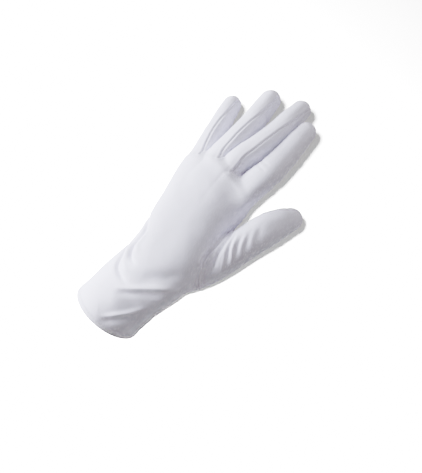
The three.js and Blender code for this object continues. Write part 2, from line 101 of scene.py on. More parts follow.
# seam of a strip along its two fingers: place along the finger, then part of the half width on each
STRIP_SEAM = [
    # along, thumb-side face of the far finger, little-finger-side face of the near one
    (0.37, 0.64, 0.74), (0.46, 0.54, 0.68), (0.56, 0.5, 0.65), (0.65, 0.57, 0.68),
    (0.72, 0.72, 0.77), (0.8, 0.84, 0.86), (0.9, 0.92, 0.93), (1, 0.97, 0.97),
]
THUMB_AXIS = (.453, -.785, .423)
THUMB_LINE = [
    (20, 33, 122.7), (21.2, 29.4, 114.8), (24.2, 23.7, 100.9), (25.9, 20.2, 92.5),
    (30.1, 17.7, 83.4), (33.5, 16.7, 77.9), (42, 16.8, 69), (65.6, 21.1, 51.6),
    (122.5, 87.8, 114.4), (45.1, 83.3, 189.3), (23.5, 61.7, 172.3), (20.2, 44.3, 143.5), (20.1, 37.1, 130.2),
]

SEEN = np.array([.4532, -.7849, .4226])
# folds on the side that is seen: rise, half width, sharpness of the crest, then points on the cloth
LINES = [
    # heel of the hand, little-finger side: two grooves with soft rolls beside them
    (-2.6, 1.8, 1.8, [(-26, 8, 90), (-24, 3, 86), (-19, -4, 83), (-13.4, -11.8, 77.6), (-12.3, -12.8, 73.7), (-11.2, -15, 64.3), (-7.1, -17.7, 59.4), (-2.9, -19.2, 58.3), (1.9, -19.8, 58.8), (7.2, -19.7, 60)], .3),
    (-2.6, 2.1, 1.8, [(-25, 8, 70), (-23, 0, 66), (-20, -8, 60.5), (-16.2, -13, 54.7), (-13.9, -15.4, 51.3), (-10.4, -18.2, 45.9), (-6.2, -20.1, 43.5), (2.2, -21.6, 42.9), (8.4, -21.4, 43.9), (14.8, -20.1, 46.8)], .3),
    (.9, 2.6, 2.0, [(-22, -1.5, 74), (-15.9, -12.2, 61.1), (-10, -17.1, 55.4), (-4.6, -19.6, 52), (2.6, -20.9, 50.6), (9.5, -20.7, 52.3)], .3),
    (.7, 2.6, 2.0, [(-15, -9, 80), (-10.5, -12, 76), (-8, -14, 69), (-4.5, -16, 66), (1, -17, 65)], .3),
    # long thin ridge across the wrist, a broad valley above it and a deep one below
    (1.6, 2.1, 1.8, [(3.3, -23.3, 32.1), (8.2, -22.4, 36.3), (15.3, -20.2, 43.3), (22.5, -17.5, 51.3), (30.9, -11.8, 60.3), (37.6, -1.9, 66.1), (37.8, 12.6, 66.1)], .36),
    (-2.3, 5.8, 2.0, [(7, -21.5, 50), (13.6, -20, 54.5), (19.2, -18.2, 58.3), (25.1, -14.4, 64.8), (29.9, -9.6, 71.1), (34.2, -3.5, 76.4), (37.3, 5.5, 79.5)], .42),
    (-1.2, 3.0, 2.0, [(5.5, -23.5, 30.5), (10.5, -22.3, 34.2), (16.3, -20.3, 38.9), (24.4, -16.3, 46), (33.5, -9.4, 54.3), (38.2, .1, 60.7)], .34),
    (-1.5, 9.4, 2.0, [(10.3, -23.4, 26), (15.8, -21.2, 30.9), (21.9, -17.9, 36.5), (28.4, -13.3, 43.1), (33.9, -8.1, 49.7), (37.4, -2.1, 55.9)], .45),
    # short ridge over the cuff, on a lower stretch that runs to the hem
    (-1.0, 8.0, 2.0, [(10, -26, 5), (13.5, -24.6, 7.8), (16.9, -22.2, 14.5), (21.6, -18.7, 21.3), (26.1, -14.8, 29.1), (30, -11.1, 36.3), (33.3, -7.8, 44.5)], .45),
    (1.7, 1.9, 1.8, [(11, -25.5, 7.5), (14.6, -23.7, 11.3), (17.5, -21.8, 14.8), (20.5, -19.6, 19.2), (23.8, -16.8, 24), (27.1, -13.7, 29.7), (30.2, -10.7, 35.7), (33, -7.7, 41.9)], .4),
    (-1.3, 2.8, 2.0, [(13, -25, 4), (16.9, -22.7, 8.1), (20.6, -19.7, 12.3), (24, -16.5, 16.5), (27.5, -12.7, 22.7), (30.7, -8.7, 30.3)], .34),
    # small folds that fan out from the crotch of the thumb
    (.7, 1.3, 2.0, [(46.5, 18.5, 91), (45.3, 16.4, 96.1), (43.8, 15, 100.1), (41.6, 14.2, 104.4), (37.5, 13.8, 111), (34.2, 15.3, 117), (31.1, 18.6, 122.2)], .45),
    (-.7, 1.1, 2.0, [(46.5, 17.6, 100.8), (43.7, 15.5, 106.6), (40.4, 14.7, 111.4), (37, 15.1, 117.2), (33.6, 17.5, 123), (30.5, 21.1, 126)], .4),
    (.8, 1.2, 2.0, [(48, 19.5, 102), (46.2, 17.4, 107.1), (43.8, 16.2, 111.2), (41.1, 15.6, 114.9), (38.3, 15.9, 119.7), (35.1, 17.9, 125.2), (32.4, 20.8, 129.1)], .45),
    (.4, 1.2, 2.0, [(43.5, 14.7, 94.2), (42.6, 14, 97.1), (37.6, 13, 106.7), (34.5, 14.2, 113.4)], .45),
    (-.7, 1.3, 2.0, [(48.2, 19.7, 109.4), (45, 17.4, 114.7), (41.8, 17, 120), (39, 18, 126), (36.7, 19.7, 130.7)], .45),
    (.5, 1.7, 2.0, [(49.7, 22.1, 112.1), (46.1, 18.7, 118.1), (42.9, 18.3, 123.4), (40.1, 19.3, 129.3), (37.2, 21.1, 134)], .5),
    (-.45, 2.0, 2.0, [(50.6, 24.3, 115.4), (47.8, 20.6, 121), (44.4, 19.9, 126.2), (41.4, 20.6, 131.9), (38.6, 22.2, 136.7)], .5),
    (.4, 2.0, 2.0, [(51.4, 26, 120.7), (48.3, 22.2, 126), (44.7, 21.6, 130.9), (41.5, 22.5, 136.4), (39, 23.9, 140.4)], .5),
    (-.35, 2.4, 2.0, [(52.1, 27.9, 127), (48.5, 24.6, 132.9), (44.7, 24.3, 137.7), (41.7, 25.3, 142.2), (39, 27.1, 146.1)], .5),
    # web between thumb and hand
    (-1.8, 1.5, 1.8, [(41, 14, 84), (40.4, 12.5, 89.7), (39.5, 12.2, 95.4), (37.3, 12, 101.4), (35.2, 12.6, 106.9), (33.2, 14, 112.1), (31.2, 16.5, 117.2), (28.1, 21.9, 121.5), (26, 26, 124)], .2),
    (-1.2, 1.1, 2.0, [(36, 7.5, 86.5), (34.5, 7.4, 89.9), (33.3, 7.9, 93.1), (31.2, 9.2, 98.2), (29.8, 10.8, 102.3), (28.5, 12.7, 106)], .3),
    (.9, 1.2, 2.0, [(35, 5, 86), (33.9, 4.9, 89.2), (32, 4.8, 92.7), (29.9, 6, 97.2), (28.5, 7.9, 101.3), (27.7, 10.7, 105)], .3),
    (1.1, 1.1, 2.0, [(40.5, 24, 69), (40.7, 14.9, 75.6), (38.3, 10.5, 80.6), (36, 8.3, 86.6), (34.1, 8.6, 92.3), (32.3, 9.9, 97.7), (31.1, 11.3, 102)], .25),
    # root of the index finger
    (-.4, 1.2, 2.0, [(-3, 33, 170), (-.5, 31.2, 171.5), (6.9, 26.8, 175.5), (13, 27.1, 177.3)]),
    (-.4, 1.2, 2.0, [(-3, 33, 165), (.1, 31.1, 167.2), (9.2, 24.2, 172.2), (14.9, 24.6, 173)]),
]

# folds on the palm side of wrist and cuff, by angle round the hand's tube and height
ROUND = [
    # angle, z, angle, z, half width, rise
    (40, 52, 95, 60, 4.0, -1.6), (95, 60, 150, 55, 4.0, -1.4), (60, 43, 130, 47, 4.0, 1.3),
    (20, 30, 80, 36, 4.4, -1.3), (140, 38, 185, 44, 4.0, -1.3),
    # creases of the palm
    (62, 120, 100, 112, 2.6, -0.7), (100, 112, 150, 122, 2.6, -0.6), (70, 104, 112, 96, 2.6, -0.6),
    (112, 96, 158, 90, 3.0, -0.5), (48, 76, 66, 96, 3.4, -0.7),
]

# soft creases across the fingers: finger, place along it, rise on the palm side, rise on the back
JOINTS = [
    ("index", 0.47, -0.5, 0.22), ("index", 0.74, -0.4, 0.12),
    ("middle", 0.5, -0.55, 0.2), ("middle", 0.76, -0.5, 0.12),
    ("ring", 0.5, -0.5, 0.18), ("ring", 0.76, -0.45, 0.1),
    ("little", 0.52, -0.4, 0.15), ("little", 0.76, -0.35, 0.1),
    ("thumb", 0.72, -0.5, 0.2),
]


# ---------------------------------------------------------------- shape of the worn glove

def smin(a, b, k):
    h = np.clip(0.5 + 0.5 * (b - a) / k, 0, 1)
    return b * (1 - h) + a * h - k * h * (1 - h)


def smax(a, b, k):
    return -smin(-a, -b, k)


def ease(a, b, x):
    t = np.clip((x - a) / (b - a), 0, 1)
    return t * t * (3 - 2 * t)


def hermite(tab, z):
    zs, n = tab[:, 0], len(tab)
    i = np.clip(np.searchsorted(zs, z, side="right") - 1, 0, n - 2)
    k = np.arange(n)
    lo, hi = np.maximum(k - 1, 0), np.minimum(k + 1, n - 1)
    m = (tab[hi] - tab[lo]) / (zs[hi] - zs[lo])[:, None]
    h = zs[i + 1] - zs[i]
    t = ((z - zs[i]) / h)[:, None]
    h, t2, t3 = h[:, None], t * t, t ** 3
    return ((2 * t3 - 3 * t2 + 1) * tab[i] + (t3 - 2 * t2 + t) * h * m[i] + (-2 * t3 + 3 * t2) * tab[i + 1] + (t3 - t2) * h * m[i + 1])[:, 1:]


SECTIONS = hermite(HAND, np.clip(np.linspace(-10, 150, 1281), 0, 150))


def section(z):
    f = np.clip((z + 10) / 160 * 1280, 0, 1279.999)
    i = f.astype(int)
    t = (f - i)[:, None]
    return SECTIONS[i] * (1 - t) + SECTIONS[i + 1] * t


def hand_local(P):
    """Across, up and section of a point in the hand's tube."""
    c = section(P[:, 2])
    w = np.radians(c[:, 4])
    dx, dy = P[:, 0] - c[:, 0], P[:, 1] - c[:, 1]
    u, v = dx * np.cos(w) + dy * np.sin(w), -dx * np.sin(w) + dy * np.cos(w)
    # the thumb side drops away more than the other
    r = np.clip(u / c[:, 2], -1.25, 1.25)
    v = v - c[:, 6] * np.where(r > 0, 1.2 * np.abs(r) ** 3, r ** 2)
    return u, v, c


def hand_distance(P):
    u, v, c = hand_local(P)
    a, b, n = c[:, 2], c[:, 3], c[:, 5]
    U, W = np.abs(u) + 1e-6, np.abs(v) + 1e-6
    q = ((U / a) ** n + (W / b) ** n) ** (1 / n)
    g = q ** (1 - n)
    gu, gv = g * U ** (n - 1) / a ** n, g * W ** (n - 1) / b ** n
    d = np.maximum((q - 1) / np.sqrt(gu ** 2 + gv ** 2 + 1e-9), -12)
    return smax(d, P[:, 2] - TOP, 5.0)


def curve(points, n):
    """n places on a smooth line through the points."""
    P = np.asarray(points, float)
    m = len(P)
    t = np.linspace(0, m - 1, n)
    i = np.minimum(t.astype(int), m - 2)
    f = (t - i)[:, None]
    at = lambda k: P[np.clip(k, 0, m - 1)]
    p0 = np.where((i == 0)[:, None], 2 * P[0] - P[1], at(i - 1))
    p3 = np.where((i == m - 2)[:, None], 2 * P[-1] - P[-2], at(i + 2))
    p1, p2 = at(i), at(i + 1)
    return .5 * (2 * p1 + (p2 - p0) * f + (2 * p0 - 5 * p1 + 4 * p2 - p3) * f ** 2 + (3 * p1 - p0 - 3 * p2 + p3) * f ** 3)


class Tube:
    """A digit: a bent tube with a rounded end."""

    def __init__(self, back, rows, n=73):
        R = np.array(rows, float)
        self.n, self.C, self.W = n, curve(R[:, :3], n), curve(R[:, 3:], n)
        ax = np.gradient(self.C, axis=0)
        self.ax = ax / np.linalg.norm(ax, axis=1)[:, None]
        b = np.array(back) / np.linalg.norm(back)
        up = b - (self.ax @ b)[:, None] * self.ax
        self.up = up / np.linalg.norm(up, axis=1)[:, None]
        self.side = np.cross(self.ax, self.up)
        self.length = np.linalg.norm(np.diff(self.C, axis=0), axis=1).sum()
        self.lo, self.hi = self.C.min(0) - 36, self.C.max(0) + 36
        # the end cap carries on the taper of the tube
        mean, L = self.W.mean(1), self.W[-1, 0]
        k = max((mean[-2] - mean[-1]) * (n - 1) / self.length / mean[-1], 0)
        c = k * L * L / max(1 - 2 * k * L, .3)
        self.cap = c, L + c

    def local(self, P):
        """Place along (0 to 1), across, up, how far past an end, half width, half height."""
        out = [np.empty(len(P)) for _ in range(6)]
        pitch = self.length / (self.n - 1)
        for k in range(0, len(P), 40000):
            Q = P[k:k + 40000]
            d2 = (Q ** 2).sum(1)[:, None] - 2 * Q @ self.C.T + (self.C ** 2).sum(1)[None]
            i = d2.argmin(1)
            s = i + ((Q - self.C[i]) * self.ax[i]).sum(1) / pitch
            over = np.where(s < 0, s, np.where(s > self.n - 1, s - (self.n - 1), 0)) * pitch
            s = np.clip(s, 0, self.n - 1 - 1e-6)
            j = s.astype(int)
            f = (s - j)[:, None]
            mix = lambda A: A[j] * (1 - f) + A[j + 1] * f
            r, W = Q - mix(self.C), mix(self.W)
            z = slice(k, k + 40000)
            out[0][z], out[1][z], out[2][z] = s / (self.n - 1), (r * mix(self.side)).sum(1), (r * mix(self.up)).sum(1)
            out[3][z], out[4][z], out[5][z] = over, W[:, 0], W[:, 1]
        return out

    def distance(self, P):
        t, u, v, e, w, h = self.local(P)
        n = POWER
        U, V = np.abs(u) + 1e-6, np.abs(v) + 1e-6
        q0 = ((U / w) ** n + (V / h) ** n) ** (1 / n)
        g = q0 ** (1 - n)
        gu, gv = g * U ** (n - 1) / w ** n, g * V ** (n - 1) / h ** n
        c, L = self.cap
        tip = e > 0
        s = np.where(tip, 1 - (c / L) ** 2, 1.0)
        far, L = np.where(tip, e + c, e), np.where(tip, L, 5.0)
        q = np.sqrt(s * q0 ** 2 + (far / L) ** 2)
        gr = np.sqrt((gu ** 2 + gv ** 2) * (s * q0) ** 2 + (far / L ** 2) ** 2) / q
        return np.maximum((q - 1) / np.maximum(gr, 0.03), -10)


TUBES = {k: Tube(*v) for k, v in DIGITS.items()}


def unit(v):
    return v / np.maximum(np.linalg.norm(v, axis=-1), 1e-9)[..., None]


def place(T, t):
    s = min(t * (T.n - 1), T.n - 1 - 1e-6)
    j, f = int(s), s - int(s)
    mix = lambda A: A[j] * (1 - f) + A[j + 1] * f
    return mix(T.C), unit(mix(T.ax)), unit(mix(T.up)), unit(mix(T.side)), mix(T.W)[0]


def strip_outline(far_name, near_name, root):
    """Outline of a side strip, seen square to the backs of its two fingers. The near finger is on the thumb side."""
    A, B = TUBES[far_name], TUBES[near_name]
    _, ax_a, up_a, _, _ = place(A, .54)
    _, ax_b, up_b, _, _ = place(B, .54)
    w = unit(up_a + up_b)
    v = ax_a + ax_b
    v = unit(v - (v @ w) * w)
    u = np.cross(v, w)
    o = np.array(root, float)
    flat = lambda q: np.array([(q - o) @ u, (q - o) @ v])

    def along(T, sign, col):
        out = []
        for row in STRIP_SEAM:
            c, ax, up, side, wide = place(T, row[0])
            out.append(flat(c + side * sign * row[col] * wide))
        return np.array(out)

    def tip(T, sign):
        c, ax, up, side, wide = place(T, 1.0)
        return np.array([flat(c + ax * .42 * wide + side * sign * 1.02 * wide), flat(c + ax * .7 * wide + side * sign * 1.3 * wide)])
    near, far = along(A, 1, 1), along(B, -1, 2)
    lead = lambda p: np.array([p[0] * .8, p[1] * .26])
    low = np.array([0, -2.5])
    side_b = np.vstack([low, lead(far[0]), far, tip(B, -1)])
    side_a = np.vstack([low, lead(near[0]), near, tip(A, 1)])
    poly = np.vstack([curve(side_b, 60), curve(side_a, 60)[::-1][:-1]])
    return o, u, v, w, poly


OUTLINES = {k: strip_outline(*s) for k, s in STRIPS.items()}


def distances(P):
    d = {"hand": hand_distance(P)}
    for k, T in TUBES.items():
        a = np.full(len(P), 60.0)
        m = np.all((P > T.lo) & (P < T.hi), axis=1)
        if m.any():
            a[m] = T.distance(P[m])
        d[k] = a
    return d


def field(P):
    """Signed distance to the smooth glove, negative inside."""
    d = distances(P)
    f = np.full(len(P), 60.0)
    slit = np.full(len(P), -60.0)
    for a, b, name in zip(FINGERS[:-1], FINGERS[1:], STRIPS):
        o, u, v, w, poly = OUTLINES[name]
        past = (P - o) @ v
        f = np.minimum(f, smin(d[a], d[b], 0.2 + WEB_FILL * ease(5, -8, past)))
        near = (d[a] < 4) & (d[b] < 4)
        slit = np.maximum(slit, np.where(near, 0.75 - np.abs(d[a] - d[b]) / 2 - 4 * ease(3, -2, past), -60.0))
    out = smin(d["hand"], np.maximum(f, slit), WEB)
    return smin(out, d["thumb"], CROTCH)


def gradient(P, fn=None, e=0.25):
    fn = fn or field
    g = np.empty_like(P)
    for k in range(3):
        d = np.zeros(3)
        d[k] = e
        g[:, k] = (fn(P + d) - fn(P - d)) / (2 * e)
    return g


# ---------------------------------------------------------------- mesh of the smooth glove

def sample(lo, hi, h):
    """The field on a grid, computed closely only near the surface."""
    n = np.ceil((hi - lo) / h).astype(int) + 1
    B = 4
    nb = (n + B - 1) // B
    cx = [lo[k] + h * (np.arange(nb[k]) * B + (B - 1) / 2) for k in range(3)]
    fc = field(np.stack(np.meshgrid(*cx, indexing="ij"), -1).reshape(-1, 3))
    big = np.repeat(np.repeat(np.repeat(fc.reshape(nb), B, 0), B, 1), B, 2)[:n[0], :n[1], :n[2]]
    G = np.where(big < 0, -5.0, 5.0)
    blk = np.argwhere((np.abs(fc) < h * B * 1.35 + 1.2).reshape(nb))
    off = np.stack(np.meshgrid(*[np.arange(B)] * 3, indexing="ij"), -1).reshape(-1, 3)
    I = (blk[:, None] * B + off[None]).reshape(-1, 3)
    I = I[np.all(I < n, axis=1)]
    G[I[:, 0], I[:, 1], I[:, 2]] = field(lo + I * h)
    return G


def surface(G, lo, h):
    """Quads round the zero level of a grid, one vertex a cell."""
    nx, ny, nz = G.shape
    S = G < 0
    corners = [(a, b, c) for a in (0, 1) for b in (0, 1) for c in (0, 1)]
    count = sum(S[a:nx - 1 + a, b:ny - 1 + b, c:nz - 1 + c].astype(np.uint8) for a, b, c in corners)
    mixed = (count > 0) & (count < 8)
    idx = -np.ones(mixed.shape, np.int64)
    I = np.argwhere(mixed)
    idx[mixed] = np.arange(len(I))
    acc, cnt = np.zeros((len(I), 3)), np.zeros(len(I))
    for a in corners:
        for k in range(3):
            if a[k]:
                continue
            b = tuple(a[j] + (j == k) for j in range(3))
            ga, gb = G[I[:, 0] + a[0], I[:, 1] + a[1], I[:, 2] + a[2]], G[I[:, 0] + b[0], I[:, 1] + b[1], I[:, 2] + b[2]]
            m = (ga < 0) != (gb < 0)
            t = np.where(m, ga / np.where(m, ga - gb, 1), 0)
            p = np.array(a)[None] + t[:, None] * (np.array(b) - np.array(a))[None]
            acc[m] += p[m]
            cnt[m] += 1
    V = (I + acc / cnt[:, None]) * h + lo
    quads = []
    for ax in range(3):
        s0, s1 = [slice(None)] * 3, [slice(None)] * 3
        s0[ax], s1[ax] = slice(0, -1), slice(1, None)
        A, B = S[tuple(s0)], S[tuple(s1)]
        J = np.argwhere(A != B)
        o = [k for k in range(3) if k != ax]
        J = J[(J[:, o[0]] > 0) & (J[:, o[1]] > 0) & (J[:, o[0]] < G.shape[o[0]] - 1) & (J[:, o[1]] < G.shape[o[1]] - 1)]
        inside = A[J[:, 0], J[:, 1], J[:, 2]]

        def cell(d0, d1):
            K = J.copy()
            K[:, o[0]] -= d0
            K[:, o[1]] -= d1
            return idx[K[:, 0], K[:, 1], K[:, 2]]
        q = np.stack([cell(1, 1), cell(0, 1), cell(0, 0), cell(1, 0)], 1)
        flip = ~inside if ax != 1 else inside
        q[flip] = q[flip][:, ::-1]
        quads.append(q)
    return V, np.vstack(quads)


def relax(V, F, rounds, keep=None):
    """Evens out a mesh along its surface."""
    E = np.unique(np.sort(np.vstack([F[:, [0, 1]], F[:, [1, 2]], F[:, [2, 0]]]), axis=1), axis=0)
    deg = np.bincount(E.ravel(), minlength=len(V)).astype(float)
    for _ in range(rounds):
        avg = np.stack([np.bincount(E[:, 0], V[E[:, 1], k], len(V)) + np.bincount(E[:, 1], V[E[:, 0], k], len(V)) for k in range(3)], 1) / deg[:, None]
        n = normals(V, F)
        d = avg - V
        d -= (d * n).sum(1)[:, None] * n
        if keep is not None:
            d[keep] = 0
        V = V + 0.5 * d
    return V


def normals(V, F):
    fn = np.cross(V[F[:, 1]] - V[F[:, 0]], V[F[:, 2]] - V[F[:, 0]])
    n = np.stack([sum(np.bincount(F[:, j], fn[:, k], len(V)) for j in range(3)) for k in range(3)], 1)
    return unit(n)


def settle(V, rounds):
    """Moves vertices onto the smooth surface."""
    for _ in range(rounds):
        f, g = field(V), gradient(V)
        V = V - np.clip(f / np.maximum((g ** 2).sum(1), .2), -.8, .8)[:, None] * g
    return V


# ---------------------------------------------------------------- seams

def polygon_distance(Q, poly):
    """Distance to a closed outline in the plane, negative inside."""
    out = np.full(len(Q), 1e9)
    inside = np.zeros(len(Q), bool)
    for a, b in zip(poly, np.roll(poly, -1, axis=0)):
        d, r = b - a, Q - a
        t = np.clip((r @ d) / (d @ d), 0, 1)
        out = np.minimum(out, np.hypot(*(r - t[:, None] * d).T))
        hit = ((a[1] > Q[:, 1]) != (b[1] > Q[:, 1])) & (Q[:, 0] < (b[0] - a[0]) * (Q[:, 1] - a[1]) / (b[1] - a[1] + 1e-12) + a[0])
        inside ^= hit
    return np.where(inside, -out, out)


def strip_field(name):
    o, u, v, w, poly = OUTLINES[name]
    lo, hi = poly.min(0) - 6, poly.max(0) + 6

    def fn(P):
        r = P - o
        Q = np.stack([r @ u, r @ v], 1)
        h = r @ w
        out = np.full(len(P), 9.0)
        m = np.all((Q > lo) & (Q < hi), axis=1) & (h > -34) & (h < 30)
        if m.any():
            out[m] = polygon_distance(Q[m], poly)
        return out
    return fn


TW = unit(np.array(THUMB_AXIS))
TU = unit(np.cross([0, 0, 1.0], TW))
TV = np.cross(TW, TU)
TO = np.array(THUMB_LINE[0], float)
THUMB_POLY = np.array([[(np.array(q) - TO) @ TU, (np.array(q) - TO) @ TV] for q in THUMB_LINE])
THUMB_POLY = np.vstack([curve(THUMB_POLY[:8], 80), THUMB_POLY[8:10], curve(THUMB_POLY[10:], 20)])


def thumb_field(P):
    r = P - TO
    Q = np.stack([r @ TU, r @ TV], 1)
    out = np.full(len(P), 9.0)
    lo, hi = THUMB_POLY.min(0) - 6, THUMB_POLY.max(0) + 6
    m = np.all((Q > lo) & (Q < hi), axis=1)
    if m.any():
        out[m] = polygon_distance(Q[m], THUMB_POLY)
    return out


def middle_height(x, z):
    """y of the surface between the back and the palm panels."""
    h = np.clip(z, 0, 140)
    c = section(h)
    w = np.radians(c[:, 4])
    u = np.clip((x - c[:, 0]) / (np.cos(w) * c[:, 2]), -1.25, 1.25)
    lift = (1.05 + (0.55 - 1.05) * ease(50, 90, z)) * c[:, 3]
    hand = c[:, 1] + u * c[:, 2] * np.sin(w) + c[:, 6] * u * u + np.where(u > 0, lift * u * u, 0)
    total, weight = np.zeros(len(x)), np.zeros(len(x))
    m = z > 130
    if m.any():
        X, Z = x[m], z[m]
        tot, wsum = np.zeros(len(X)), np.zeros(len(X))
        for name in ["index", "middle", "ring", "little", "thumb"]:
            if name == "thumb":
                continue
            T = TUBES[name]
            d2 = (X[:, None] - T.C[None, :, 0]) ** 2 + (Z[:, None] - T.C[None, :, 2]) ** 2
            i = d2.argmin(1)
            far = d2[np.arange(len(X)), i]
            dx, dz = X - T.C[i, 0], Z - T.C[i, 2]
            ax, sd = T.ax[i], T.side[i]
            det = ax[:, 0] * sd[:, 2] - ax[:, 2] * sd[:, 0]
            a = (dx * sd[:, 2] - dz * sd[:, 0]) / det
            b = (ax[:, 0] * dz - ax[:, 2] * dx) / det
            lim = np.clip(b, -16, 16)
            y = T.C[i, 1] + np.clip(a, -14, 14) * ax[:, 1] + lim * sd[:, 1]
            if name == "index":
                y = y + np.where(lim > 0, 0.9 * lim, 0)
            wt = 1 / (far + 4) ** 3
            tot += wt * y
            wsum += wt
        total[m], weight[m] = tot / wsum, ease(132, 152, Z)
    return hand * (1 - weight) + total * weight


def back_field(P):
    """Negative on the back's side of the side seam."""
    e = 0.5
    x, z = P[:, 0], P[:, 2]
    m = middle_height(x, z)
    sx = (middle_height(x + e, z) - middle_height(x - e, z)) / (2 * e)
    sz = (middle_height(x, z + e) - middle_height(x, z - e)) / (2 * e)
    return (P[:, 1] - m) / np.sqrt(1 + sx ** 2 + sz ** 2)


def cut(V, F, s, tol=0.12):
    """Splits triangles along s = 0. Returns vertices, triangles."""
    s = np.where(np.abs(s) < tol, 0, s)
    g = np.sign(s).astype(int)
    fs = g[F]
    mixed = (fs.min(1) < 0) & (fs.max(1) > 0)
    M, sg = F[mixed], fs[mixed]
    if not len(M):
        return V, F
    zero = (sg == 0).any(1)
    # one corner alone on its side
    A, ga = M[~zero], sg[~zero]
    lone = np.where(ga[:, 0] == ga[:, 1], 2, np.where(ga[:, 0] == ga[:, 2], 1, 0))
    A = np.stack([A[np.arange(len(A)), (lone + k) % 3] for k in range(3)], 1)
    # one corner on the line
    B, gb = M[zero], sg[zero]
    at = np.argmax(gb == 0, axis=1)
    B = np.stack([B[np.arange(len(B)), (at + k) % 3] for k in range(3)], 1)
    edges = np.sort(np.vstack([A[:, [0, 1]], A[:, [2, 0]], B[:, [1, 2]]]), axis=1)
    uniq, inv = np.unique(edges, axis=0, return_inverse=True)
    inv = inv.ravel()
    sa, sb = s[uniq[:, 0]], s[uniq[:, 1]]
    t = (sa / (sa - sb))[:, None]
    new = V[uniq[:, 0]] * (1 - t) + V[uniq[:, 1]] * t
    n0, a, b = len(V), len(A), len(B)
    p, q, r = n0 + inv[:a], n0 + inv[a:2 * a], n0 + inv[2 * a:]
    parts = [F[~mixed], np.stack([A[:, 0], p, q], 1), np.stack([p, A[:, 1], A[:, 2]], 1), np.stack([p, A[:, 2], q], 1)]
    if b:
        parts += [np.stack([B[:, 0], B[:, 1], r], 1), np.stack([B[:, 0], r, B[:, 2]], 1)]
    return np.vstack([V, new]), np.vstack(parts)


def snap(V, fn, locked, near=0.3):
    """Moves vertices close to a seam line onto it."""
    s = fn(V)
    m = (np.abs(s) < near) & ~locked
    if m.any():
        P = V[m]
        g = gradient(P, fn)
        n = unit(gradient(P))
        g -= (g * n).sum(1)[:, None] * n
        d = s[m] / np.maximum((g ** 2).sum(1), .15)
        step = -d[:, None] * g
        long = np.linalg.norm(step, axis=1)
        step *= (np.minimum(long, .45) / np.maximum(long, 1e-9))[:, None]
        V = V.copy()
        V[m] = P + step
    return V


def largest_only(F, label):
    """Gives stray patches of a piece to the piece around them."""
    for _ in range(4):
        e = np.sort(np.vstack([F[:, [0, 1]], F[:, [1, 2]], F[:, [2, 0]]]), axis=1)
        owner = np.tile(np.arange(len(F)), 3)
        order = np.lexsort((e[:, 1], e[:, 0]))
        e, owner = e[order], owner[order]
        same = np.all(e[1:] == e[:-1], axis=1)
        a, b = owner[:-1][same], owner[1:][same]
        inner = label[a] == label[b]
        comp = np.arange(len(F))
        while True:
            m = np.minimum(comp[a[inner]], comp[b[inner]])
            before = comp.copy()
            np.minimum.at(comp, a[inner], m)
            np.minimum.at(comp, b[inner], m)
            comp = comp[comp]
            if np.array_equal(comp, before):
                break
        size = np.bincount(comp, minlength=len(F))
        best = {l: max(np.unique(comp[label == l]), key=lambda c: size[c]) for l in np.unique(label)}
        stray = np.array([comp[i] != best[label[i]] for i in range(len(F))])
        if not stray.any():
            break
        for x, y in ((a, b), (b, a)):
            m = stray[x] & ~stray[y]
            for c in np.unique(comp[x[m]]):
                near = label[y[m & (comp[x] == c)]]
                label[comp == c] = np.bincount(near).argmax()
    return label


# ---------------------------------------------------------------- cloth

def line_fold(P, N, rise, wide, power, points, ends=.22):
    n = max(24, 6 * len(points))
    C = curve(points, n)
    lo, hi = C.min(0) - 3 * wide, C.max(0) + 3 * wide
    out = np.zeros(len(P))
    m = np.all((P > lo) & (P < hi), axis=1)
    if not m.any():
        return out
    Q, Nq = P[m], N[m]
    best, at = np.full(len(Q), 1e9), np.zeros(len(Q))
    for i in range(n - 1):
        a, d = C[i], C[i + 1] - C[i]
        r = Q - a
        t = np.clip((r @ d) / (d @ d), 0, 1)
        v = r - t[:, None] * d
        v -= 0.85 * (v * Nq).sum(1)[:, None] * Nq
        dist = np.linalg.norm(v, axis=1)
        k = dist < best
        best[k], at[k] = dist[k], (i + t[k]) / (n - 1)
    fade = ease(0, ends, at) * ease(1, 1 - ends, at)
    out[m] = rise * np.exp(-((best / wide) ** power)) * fade
    return out


def round_folds(P):
    u, v, c = hand_local(P)
    ang = np.degrees(np.arctan2(v / c[:, 3], u / c[:, 2]))
    girth = (c[:, 2] + c[:, 3]) / 2 * math.pi / 180
    out = np.zeros(len(P))
    for r0, z0, r1, z1, wide, rise in ROUND:
        a = ang + 360 * np.round(((r0 + r1) / 2 - ang) / 360)
        dx, dz = (r1 - r0) * girth, z1 - z0
        px, pz = (a - r0) * girth, P[:, 2] - z0
        s = np.clip((px * dx + pz * dz) / (dx * dx + dz * dz), 0, 1)
        d = np.hypot(px - s * dx, pz - s * dz)
        out += rise * np.exp(-((d / wide) ** 2)) * (0.4 + 0.6 * ease(0, .2, s) * ease(1, .8, s))
    return out


def ripple(P, size, seed):
    """Soft noise of about the given size, -1 to 1."""
    k, o = 1.0 / size, Vector((seed * 17.3, seed * 5.1, seed * 29.7))
    return np.array([noise.noise(Vector(p) * k + o) for p in P.tolist()])


def joint_creases(P, d):
    out = np.zeros(len(P))
    for name, t0, palm, back in JOINTS:
        T = TUBES[name]
        m = d[name] < 1.5
        if not m.any():
            continue
        t, u, v, e, w, h = T.local(P[m])
        s = (t - t0) * T.length
        side = ease(.75, -.75, v / h)
        out[m] += (palm * side * (np.exp(-((s / 1.9) ** 2)) - .55 * np.exp(-(((np.abs(s) - 4) / 2.4) ** 2)))
                   + back * (1 - side) * np.exp(-((s / 5.5) ** 2)))
    return out


